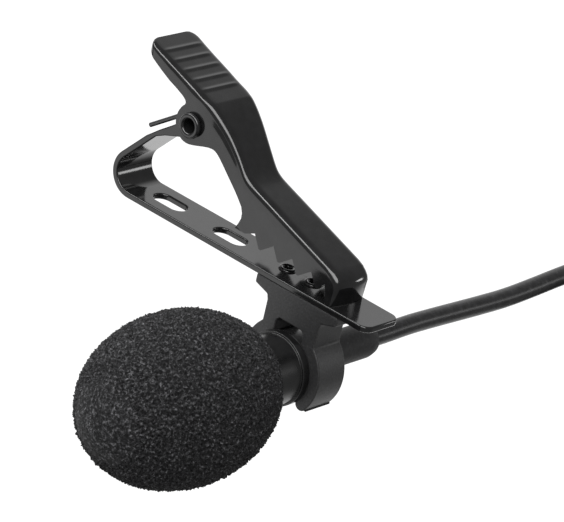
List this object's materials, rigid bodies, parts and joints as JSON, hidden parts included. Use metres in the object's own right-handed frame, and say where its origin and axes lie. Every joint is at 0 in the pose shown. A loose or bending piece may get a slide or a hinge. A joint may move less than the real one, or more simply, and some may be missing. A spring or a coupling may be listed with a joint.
{
  "type": "lavalier microphone",
  "caption": "Clip-on lapel microphone in a foam windscreen, held by a sprung lever clip, with a thin cable gathered in a strapped hank that ends in a mini jack plug.",
  "frame": {"origin": "on the gripping face of the clip's lower strip, at mid-width, straight above the microphone's axis", "axes": "+X along the strip towards the jaw's tip, +Y out of the gripping face towards the toothed lever, +Z along the microphone towards its front and the windscreen"},
  "size_m": [0.0412, 0.0539, 0.2],
  "materials": {
    "clip_steel": "gloss black coating on pressed steel",
    "rivet_steel": "gloss black",
    "spring_steel": "satin black spring wire",
    "holder_plastic": "moulded, fine matt texture",
    "mic_metal": "satin black",
    "felt": "dark felt",
    "capsule_metal": "satin",
    "boot_rubber": "matt black",
    "board": "green board",
    "wire_jacket": "thin insulated wire",
    "foam": "open-cell foam",
    "cord_jacket": "satin black jacket",
    "strap": "woven hook strap",
    "plug_shell": "satin black shell",
    "plug_contact": "nickel plate",
    "plug_insulation": "black",
    "plug_brass": "turned"
  },
  "bodies": {
    "clip": {"lower_jaw": "clip_steel", "pivot_rivet": "rivet_steel", "torsion_spring": "spring_steel", "mic_holder": "holder_plastic", "rear_rivet": "rivet_steel", "front_rivet": "rivet_steel"},
    "lever": {"upper_jaw": "clip_steel"},
    "microphone": {"mic_barrel": "mic_metal", "front_grille": "mic_metal", "felt_disc": "felt", "electret_capsule": "capsule_metal", "capsule_boot": "boot_rubber", "circuit_board": "board", "signal_wires": "wire_jacket", "strain_relief": "boot_rubber", "cable": "cord_jacket", "cable_hank": "cord_jacket", "cable_tie": "strap", "cable_tail": "cord_jacket", "plug_relief_boot": "boot_rubber", "plug_barrel": "plug_shell", "plug_sleeve": "plug_contact", "plug_ring": "plug_contact", "plug_tip": "plug_contact", "plug_insulators": "plug_insulation", "plug_core": "plug_brass"},
    "windscreen": {"foam_windscreen": "foam"}
  },
  "joints": [
    {"name": "lever_hinge", "type": "hinge", "parent": "clip", "child": "lever", "pos_m": [-0.0186, 0.0119, 0], "axis": [0, 0, 1], "range_deg": [0, 40], "stiffness_Nm_per_rad": 0.03, "springref_deg": -85.94, "deforming": ["torsion_spring"]},
    {"name": "mic_slide", "type": "slide", "parent": "clip", "child": "microphone", "axis": [0, 0, 1], "range_m": [0, 0.018]},
    {"name": "windscreen_pull", "type": "slide", "parent": "microphone", "child": "windscreen", "axis": [0, 0, 1], "range_m": [0, 0.013]}
  ]
}
